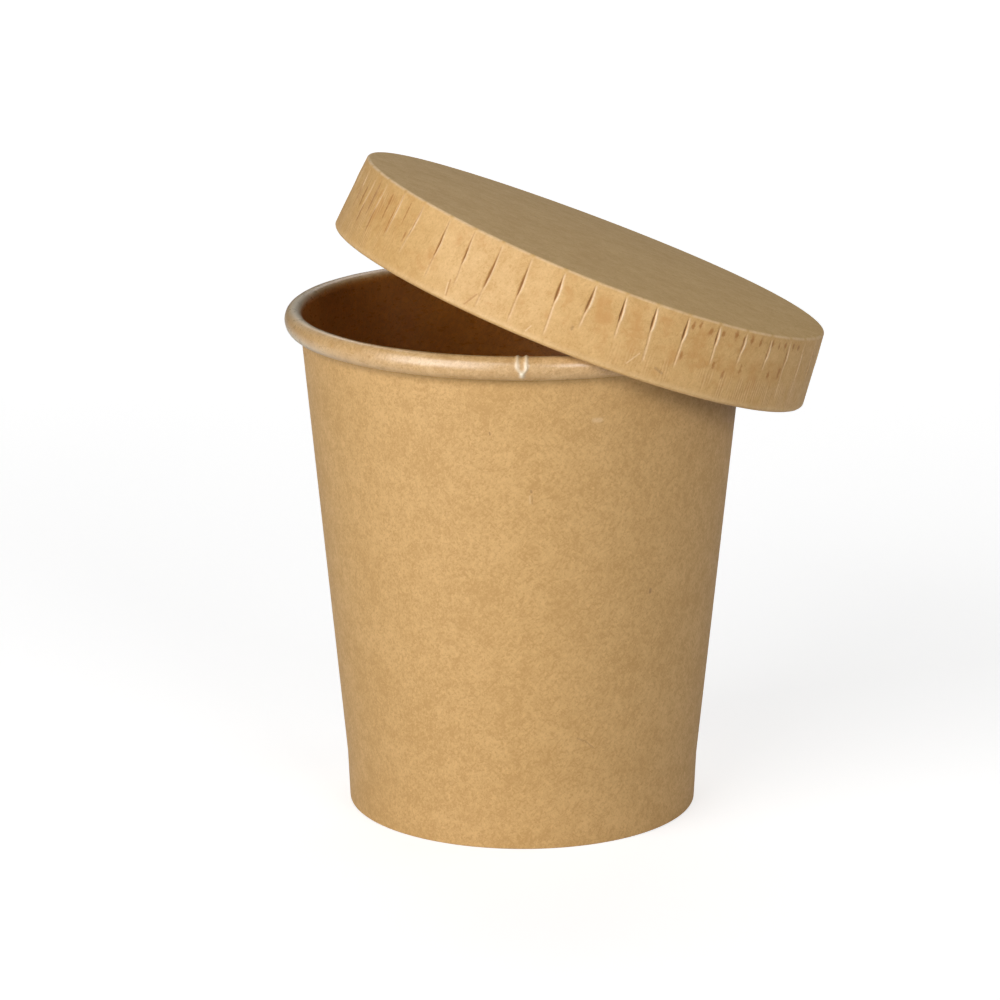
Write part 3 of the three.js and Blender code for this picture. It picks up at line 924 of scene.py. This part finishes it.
def unseen_blotches(chance):
    """Blotches where the photo doesn't show the skirt, given as the seen ones are."""
    azimuth = chance.uniform(-38, 180, UNSEEN_BLOTCHES)
    is_high = chance.random(UNSEEN_BLOTCHES) < 0.6
    high = chance.uniform(1.2, 2.4, UNSEEN_BLOTCHES)
    low = chance.uniform(7, 10, UNSEEN_BLOTCHES)
    half_width = chance.uniform(0.3, 0.6, UNSEEN_BLOTCHES)
    half_height = chance.uniform(0.6, 1.1, UNSEEN_BLOTCHES)
    return np.column_stack((azimuth, np.where(is_high, high, low), half_width, half_height))


class Pleats:
    """The columns round the lid, the character of each pleat and the blotches between them."""

    def __init__(self, lid):
        chance = np.random.default_rng(SEED)
        seen = np.array(SEEN_PLEATS)
        self.place_columns(lid, seen)
        self.give_traits(lid.pleats, seen, chance)
        self.blotches = np.concatenate((np.array(SEEN_BLOTCHES), unseen_blotches(chance)))

    def place_columns(self, lid, seen):
        """Finds each column's azimuth and how far aside of its pleat's slit it is."""
        count = lid.pleats
        number = (np.arange(count) - SEEN_FROM + count // 2) % count - count // 2
        off_even = np.interp(
            number,
            [OFF_EVEN_FADES[0], *seen[:, 0], OFF_EVEN_FADES[1]],
            [0, *seen[:, 1], 0],
        )
        even = lid.pleat_start + np.arange(count) * math.tau / count
        drift = lid.pleat_drift * np.sin(2 * (even - lid.pleat_drift_start))
        slits = even + drift + np.radians(off_even)
        before = (slits - np.roll(slits, 1)) % math.tau
        after = np.roll(before, -1)
        places = np.array(PLEAT_PLACES) * MILLIMETRE
        even_reach = math.pi / count * lid.top_radius
        reach = np.where(places < 0, before[:, None], after[:, None]) / 2 * lid.top_radius
        past = np.maximum(np.abs(places) - SLIT_REACH, 0)
        outer = past * (reach - SLIT_REACH) / (even_reach - SLIT_REACH)
        aside = np.sign(places) * (np.minimum(np.abs(places), SLIT_REACH) + outer)
        self.aside = aside.ravel()
        self.azimuths = (slits[:, None] + aside / lid.top_radius).ravel()

    def give_traits(self, count, seen, chance):
        """Gives each column the traits of its pleat, by chance where the pleat isn't seen."""
        traits = np.column_stack([chance.uniform(least, most, count) for least, most in UNSEEN_PLEATS])
        traits[(seen[:, 0].astype(int) + SEEN_FROM) % count] = seen[:, 2:]
        depth = chance.uniform(0.8, 1.0, count)
        belly = chance.uniform(0.2, 1.0, count)
        columns = np.repeat(np.column_stack((traits, depth, belly)), len(PLEAT_PLACES), axis=0).T
        self.opens, self.closes, self.ends, self.lean, self.width = columns[:5] * MILLIMETRE
        self.lip, self.depth, self.belly = columns[5:]

    def at(self, lid, drop):
        """(how far out, slit, lip) of each column this far down the skirt."""
        aside = self.aside - self.lean * ramp(drop, self.opens, self.ends)
        run = np.clip((drop - self.opens) / (self.closes - self.opens), 0, 1)
        opened = np.sin(math.pi * run ** 1.35) ** 0.8
        creased = ramp(drop, 0.0006, 0.0014) * (1 - ramp(drop, self.ends - 0.002, self.ends))
        gape = 0.85 * self.width / 2 * opened
        slit = opened ** 0.5 * np.clip(1 - (aside / np.maximum(gape, NARROWEST)) ** 2, 0, 1)
        crease = creased * bump(aside, CREASE_WIDTH)
        ridge = self.lip * creased * (0.5 + 0.5 * opened)
        lip = ridge * bump(aside - gape - LIP_AWAY, LIP_WIDTH)
        comes_down = np.where(aside > 0, np.exp(-aside / FOLD_LENGTH), 0)
        fold = ridge * comes_down * ramp(aside, 0.0001, 0.0004)
        panel = self.belly * BELLY_RISE * (1 - (self.aside / BELLY_WIDTH) ** 2)
        sunk = lid.slit_depth * self.depth * slit + CREASE_DEPTH * crease
        out = panel + lid.lip_rise * (0.6 * lip + 0.5 * fold) - sunk
        # The second value paints shade in the open slit and along the crease; the third paints the
        # folded edge pale, partly scuffs and partly a painted highlight.
        return out, np.clip(0.95 * slit + 0.42 * crease, 0, 1), np.clip(0.9 * lip, 0, 1)

    def spotted(self, lid, drop, spots):
        """How far each column is within one of these soft spots, this far down the skirt."""
        azimuth, below, half_width, half_height = np.array(spots).T
        aside = turned_to(self.azimuths[:, None], np.radians(azimuth)) * lid.top_radius
        across = (aside / (half_width * MILLIMETRE)) ** 2
        down = ((drop - below * MILLIMETRE) / (half_height * MILLIMETRE)) ** 2
        return np.minimum(np.exp(-across - down).sum(axis=1), 1)


def disc_height(lid, radius):
    """Height of the top above its edge, before the warp."""
    flat_radius = lid.top_radius - lid.edge_round
    return lid.bow * (1 - (radius / flat_radius) ** 2)


def gathers(azimuths, drop):
    """How strongly the skirt is drawn together into fine ridges: below the slits, most so on the
    right, and at the far left nearly all the way down."""
    right = 0.2 + 0.8 * bump(turned_to(azimuths, math.radians(-42)), math.radians(42))
    far_left = 0.9 * bump(turned_to(azimuths, math.radians(-172)), math.radians(22))
    low = right * ramp(drop, 0.0075, 0.0115)
    high = far_left * ramp(drop, 0.0008, 0.003)
    return np.maximum(low, high) * (1 - ramp(drop, 0.0142, 0.0148))


def lid_rings(lid):
    """The lid: under its top, down inside the skirt, round the roll, up the skirt and over the top."""
    pleats = Pleats(lid)
    azimuths = pleats.azimuths
    half = azimuths[::2]
    roll_centre = lid.foot_radius - lid.hem_width + lid.hem_roll
    roll_height = lid.hem_roll - lid.height

    def inner_skirt(drop):
        return skirt_radius(lid, drop) - lid.skirt_board

    roll_inside = inner_skirt(lid.height - 2 * lid.hem_roll)
    meeting = math.degrees(math.acos((roll_inside - roll_centre) / lid.hem_roll))
    discs = [(radius * MILLIMETRE, step) for radius, step in DISC_REDUCTIONS]
    inner_drops = np.linspace(2 * lid.board, lid.height - 2 * lid.hem_roll, 9)
    skirt_drops = np.linspace(lid.height - lid.hem_corner, lid.edge_round, SKIRT_ROWS)

    def skirt_ring(drop, radius, height, fades):
        out, slit, lip = pleats.at(lid, drop)
        plain = circle(azimuths, radius, height)
        wander = -np.abs(wavering(plain, WANDER_LENGTH, 8)) * WANDER
        # A painted highlight along the hem's rounded lower edge.
        hem_highlight = 0.2 * bump(drop - (lid.height - lid.hem_corner), HEM_HIGHLIGHT_WIDTH)
        return Ring(
            circle(azimuths, radius + (out + wander) * fades, height), plain=plain,
            slit=slit * fades,
            lip=np.maximum(lip * fades, hem_highlight),
            drawn=gathers(azimuths, drop),
            blotch=pleats.spotted(lid, drop, pleats.blotches),
            tinge=pleats.spotted(lid, drop, SEEN_TINGES),
        )

    roll = [
        Ring(circle(half, radius, height))
        for radius, height, _ in arc(
            roll_centre, roll_height, lid.hem_roll, lid.hem_roll, meeting, 270, HEM_STEPS
        )
    ]
    corner = [
        skirt_ring(-height, radius, height, math.sin(turn - 1.5 * math.pi))
        for radius, height, turn in arc(
            lid.foot_radius - lid.hem_corner, lid.hem_corner - lid.height,
            lid.hem_corner, lid.hem_corner, 278, 352, CORNER_STEPS,
        )
    ]
    skirt = [skirt_ring(drop, skirt_radius(lid, drop), -drop, 1) for drop in skirt_drops]
    # A painted highlight along the rounded edge between top and skirt, halved at each slit where the
    # edge dips.
    notched_edge_highlight = 0.5 - 0.5 * bump(pleats.aside, 0.0005)
    edge = [
        Ring(
            circle(azimuths, radius, height),
            lip=notched_edge_highlight * math.sin(2 * turn),
            top=math.sin(turn) ** 4,
        )
        for radius, height, turn in arc(
            skirt_radius(lid, lid.edge_round) - lid.edge_round, -lid.edge_round,
            lid.edge_round, lid.edge_round, 0, 90, EDGE_STEPS,
        )[1:]
    ]
    under = disc_height(lid, 0) - lid.board
    return [
        Ring([(0, 0, under)]),
        *[
            Ring(circle(azimuths[::step], radius, disc_height(lid, radius) - lid.board))
            for radius, step in reversed(discs)
        ],
        Ring(circle(half, inner_skirt(lid.board) - lid.board / 2, -lid.board)),
        *[Ring(circle(half, inner_skirt(drop), -drop)) for drop in inner_drops],
        *roll,
        *corner,
        *skirt,
        *edge,
        *[
            Ring(circle(azimuths[::step], radius, disc_height(lid, radius)), top=1)
            for radius, step in discs
        ],
        Ring([(0, 0, disc_height(lid, 0))], top=1),
    ]


def warped(lid, points):
    """The lid's saddle: its ends along its fall are up and its sides down, most so at the top."""
    radius = np.hypot(points[:, 0], points[:, 1])
    azimuth = np.arctan2(points[:, 1], points[:, 0])
    warp = lid.top_warp - (lid.hem_warp - lid.top_warp) * points[:, 2] / lid.height
    bent = points.copy()
    bent[:, 2] += warp * np.cos(2 * azimuth) * (radius / lid.top_radius) ** 2
    return bent


def lid_pose(lid):
    """Where the lid lies: turned to the side that it falls to, tilted and shifted that way."""
    fall = lid.fall_azimuth
    across = Vector((math.cos(fall), math.sin(fall), 0)) * lid.shift
    place = Vector((CUP_AXIS.x, CUP_AXIS.y, lid.top_height)) + across
    return Matrix.Translation(place) @ Matrix.Rotation(fall, 4, "Z") @ Matrix.Rotation(lid.tilt, 4, "Y")


# ---------------------------------------------------------------- operators

class PieceOperator:
    """What the operators share."""

    bl_options = {"REGISTER", "UNDO"}

    def execute(self, context):
        settings = context.scene.portion_cup
        self.make(settings)
        return {"FINISHED"}


class PORTIONCUP_OT_cup_wall(PieceOperator, bpy.types.Operator):
    """Makes the wall of the cup with its rolled rim and folded foot"""

    bl_idname = "portion_cup.cup_wall"
    bl_label = "Cup wall and rim"

    def make(self, settings):
        materials = [cup_kraft(settings), coated_board(settings.colours)]
        mesh = skin("cup_wall_paper", cup_wall_rings(settings.cup), materials, closes_on_itself=True)
        set_on_axis(mesh)
        add_piece(mesh, "cup_wall")


class PORTIONCUP_OT_cup_base(PieceOperator, bpy.types.Operator):
    """Makes the base of the cup"""

    bl_idname = "portion_cup.cup_base"
    bl_label = "Cup base"

    def make(self, settings):
        materials = [cup_kraft(settings), coated_board(settings.colours)]
        mesh = skin("cup_base_paper", cup_base_rings(settings.cup), materials)
        set_on_axis(mesh)
        add_piece(mesh, "cup_base")


class PORTIONCUP_OT_lid(PieceOperator, bpy.types.Operator):
    """Makes the pleated lid, lying tilted on the rim"""

    bl_idname = "portion_cup.lid"
    bl_label = "Pleated lid"

    def make(self, settings):
        lid = settings.lid
        rings = lid_rings(lid)
        for ring in rings:
            ring.points = warped(lid, ring.points)
        mesh = skin("lid_paper_shell", rings, [lid_kraft(settings)])
        place_vectors(mesh, "lid_place", np.concatenate([ring.plain for ring in rings]))
        mesh.transform(lid_pose(lid))
        add_piece(mesh, "lid")


class PORTIONCUP_OT_studio(PieceOperator, bpy.types.Operator):
    """Makes the pale floor, the soft lights and the camera"""

    bl_idname = "portion_cup.studio"
    bl_label = "Studio"

    def make(self, settings):
        add_camera(settings.studio)
        add_lights(settings.studio)
        add_floor(settings.studio)


# ---------------------------------------------------------------- studio

def add_camera(studio):
    camera = bpy.data.cameras.new("camera")
    camera.lens = studio.lens
    camera.sensor_width = 36
    camera.clip_start, camera.clip_end = 0.01, 20
    holder = bpy.data.objects.new("camera", camera)
    bpy.context.scene.collection.objects.link(holder)
    elevation = studio.camera_elevation
    looked_at = Vector((CUP_AXIS.x + studio.camera_aside, CUP_AXIS.y, studio.camera_height))
    back = Vector((0, -math.cos(elevation), math.sin(elevation)))
    holder.location = looked_at + back * studio.camera_distance
    holder.rotation_euler = (math.pi / 2 - elevation, 0, 0)
    bpy.context.scene.camera = holder


def add_softbox(name, azimuth, elevation, width, height, distance, strength_given):
    """A soft light, at an azimuth left of the camera, that gives this much on what faces it."""
    light = bpy.data.lights.new(name, "AREA")
    light.shape = "RECTANGLE"
    light.size, light.size_y = width, height
    light.energy = strength_given * (math.pi * distance) ** 2
    holder = bpy.data.objects.new(name, light)
    bpy.context.scene.collection.objects.link(holder)
    aim = Vector((CUP_AXIS.x, CUP_AXIS.y, 0.07))
    out = Vector((
        -math.sin(azimuth) * math.cos(elevation),
        -math.cos(azimuth) * math.cos(elevation),
        math.sin(elevation),
    ))
    holder.location = aim + out * distance
    holder.rotation_euler = out.to_track_quat("Z", "Y").to_euler()


def add_lights(studio):
    world = bpy.data.worlds.new("white room")
    world.use_nodes = True
    background = next(n for n in world.node_tree.nodes if n.type == "BACKGROUND")
    background.inputs["Color"].default_value = (1, 1, 1, 1)
    background.inputs["Strength"].default_value = studio.room_strength
    bpy.context.scene.world = world
    softboxes = (
        ("key light", 42, 8, 1.0, 0.6, 1.2, studio.key_strength),
        ("high key light", 40, 34, 1.1, 0.4, 1.2, studio.high_key_strength),
        ("fill light", -32, 19, 0.8, 0.5, 1.5, studio.fill_strength),
        ("side light", -100, 20, 0.8, 0.8, 1.5, studio.side_strength),
        ("back light", 180, 50, 1.2, 1.2, 1.5, studio.back_strength),
    )
    for name, azimuth, elevation, width, height, distance, strength_given in softboxes:
        add_softbox(
            name, math.radians(azimuth), math.radians(elevation), width, height, distance, strength_given
        )
    bpy.context.scene.view_settings.view_transform = "Standard"


def add_floor(studio):
    """A pale sweep: a floor that curves up into a wall far behind."""
    finish = Finish("pale floor")
    shader = finish.shader
    place = finish.add("ShaderNodeTexCoord").outputs["Object"]
    tone = finish.remap(finish.clouds(place, 0.4), 0, 1, 0.53, 0.57)
    finish.join(finish.mix(tone, (0, 0, 0, 1), (1, 1, 1, 1)), shader.inputs["Base Color"])
    shader.inputs["Roughness"].default_value = 0.9
    shader.inputs["Specular IOR Level"].default_value = 0.1
    away = finish.vector_math("LENGTH", place, (0, 0, 0), 1)
    lift = finish.remap(away, 0.1, 1.2, studio.floor_lift, studio.backdrop_lift)
    seen = finish.add("ShaderNodeLightPath").outputs["Is Camera Ray"]
    lift = finish.math("MULTIPLY", seen, lift)
    shader.inputs["Emission Color"].default_value = (1, 1, 1, 1)
    finish.join(lift, shader.inputs["Emission Strength"])
    reach, bend, wall_top = 4.0, 1.0, 3.0
    profile = [(-reach, 0.0), (reach - bend, 0.0)]
    for turn in np.linspace(0, math.pi / 2, 17)[1:]:
        profile.append((reach - bend + bend * math.sin(turn), bend - bend * math.cos(turn)))
    profile.append((reach, wall_top))
    points = [(x, y, z) for y, z in profile for x in (-reach, reach)]
    faces = [(2 * i, 2 * i + 1, 2 * i + 3, 2 * i + 2) for i in range(len(profile) - 1)]
    mesh = bpy.data.meshes.new("pale_sweep")
    mesh.from_pydata(points, [], faces)
    mesh.materials.append(finish.material)
    mesh.shade_smooth()
    floor = bpy.data.objects.new("pale_sweep", mesh)
    bpy.context.scene.collection.objects.link(floor)


# ---------------------------------------------------------------- panel and registering

class PORTIONCUP_PT_panel(bpy.types.Panel):
    """Lists the steps and sizes of the portion cup"""

    bl_idname = "PORTIONCUP_PT_panel"
    bl_label = "Portion Cup"
    bl_space_type = "VIEW_3D"
    bl_region_type = "UI"
    bl_category = "Portion Cup"

    def draw(self, context):
        settings = context.scene.portion_cup
        for operator in OPERATORS:
            self.layout.operator(operator.bl_idname)
        for group in (settings.cup, settings.lid, settings.colours, settings.studio):
            box = self.layout.box()
            for name in group.bl_rna.properties.keys():
                if name not in ("rna_type", "name"):
                    box.prop(group, name)


OPERATORS = (
    PORTIONCUP_OT_studio,
    PORTIONCUP_OT_cup_wall,
    PORTIONCUP_OT_cup_base,
    PORTIONCUP_OT_lid,
)
CLASSES = (
    CupSizes,
    LidSizes,
    PaperColours,
    StudioSettings,
    PortionCupSettings,
    *OPERATORS,
    PORTIONCUP_PT_panel,
)


def register():
    for kind in CLASSES:
        bpy.utils.register_class(kind)
    bpy.types.Scene.portion_cup = PointerProperty(type=PortionCupSettings)


def unregister():
    del bpy.types.Scene.portion_cup
    for kind in reversed(CLASSES):
        bpy.utils.unregister_class(kind)


def main():
    register()
    bpy.ops.portion_cup.studio()
    bpy.ops.portion_cup.cup_wall()
    bpy.ops.portion_cup.cup_base()
    bpy.ops.portion_cup.lid()


if __name__ == "__main__":
    main()
